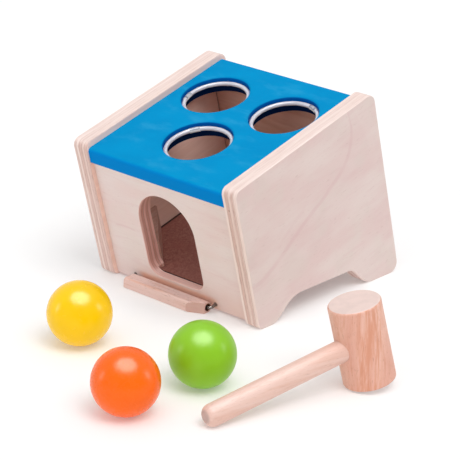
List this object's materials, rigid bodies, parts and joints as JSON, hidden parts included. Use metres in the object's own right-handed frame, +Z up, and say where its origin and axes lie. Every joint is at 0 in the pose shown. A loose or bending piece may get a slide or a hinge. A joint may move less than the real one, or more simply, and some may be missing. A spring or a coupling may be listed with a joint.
{
  "type": "pounding bench",
  "caption": "Wooden pounding bench: a tipped box whose top holds balls in grip rings, with a ramp, an arched door, a hinged ball stop and a loose mallet.",
  "frame": {"origin": "on the floor, under the middle of the whole set: bench, balls and mallet", "axes": "+Z up, +Y from the door to the back of the bench, +X to the right as seen from the door side"},
  "size_m": [0.2892, 0.3402, 0.149],
  "materials": {
    "plywood": "birch plywood, clear matt lacquer",
    "plain_wood": "bare softwood",
    "dowel_wood": "bare beech",
    "blue_paint": "satin blue paint on wood",
    "hardboard": "brown speckled hardboard",
    "ring_tube": "soft clear tube, glossy",
    "steel_wire": "bright drawn wire",
    "bar_wood": "beech, clear matt lacquer",
    "yellow_paint": "glossy yellow lacquer",
    "orange_paint": "glossy orange lacquer",
    "green_paint": "glossy green lacquer",
    "mallet_wood": "beech, clear matt lacquer"
  },
  "bodies": {
    "bench": {"side_panel_left": "plywood", "side_panel_right": "plywood", "front_panel": "plywood", "back_panel": "plywood", "top_board": "blue_paint", "ramp_board": "hardboard", "ball_guide_left": "plain_wood", "ball_guide_right": "plain_wood", "ramp_batten_left": "plain_wood", "ramp_batten_right": "plain_wood", "top_dowels": "dowel_wood", "front_dowels": "dowel_wood", "back_dowels": "dowel_wood", "grip_ring_front": "ring_tube", "grip_ring_back_left": "ring_tube", "grip_ring_back_right": "ring_tube", "ring_sleeves": "ring_tube", "hinge_wire": "steel_wire"},
    "stop_bar": {"stop_bar": "bar_wood"},
    "ball_yellow": {"ball_yellow": "yellow_paint"},
    "ball_orange": {"ball_orange": "orange_paint"},
    "ball_green": {"ball_green": "green_paint"},
    "mallet": {"mallet_head": "mallet_wood", "mallet_handle": "mallet_wood"}
  },
  "joints": [
    {"name": "stop_bar_hinge", "type": "hinge", "parent": "bench", "child": "stop_bar", "pos_m": [-0.06459, 0.01029, 0.0043], "axis": [-1, 0, 0], "range_deg": [0, 88]},
    {"name": "ball_yellow_lift", "type": "slide", "parent": "bench", "child": "ball_yellow", "axis": [0, 0, 1], "range_m": [0, 0.15]},
    {"name": "ball_orange_lift", "type": "slide", "parent": "bench", "child": "ball_orange", "axis": [0, 0, 1], "range_m": [0, 0.15]},
    {"name": "ball_green_lift", "type": "slide", "parent": "bench", "child": "ball_green", "axis": [0, 0, 1], "range_m": [0, 0.15]},
    {"name": "mallet_lift", "type": "slide", "parent": "bench", "child": "mallet", "axis": [0, 0, 1], "range_m": [0, 0.15]}
  ]
}
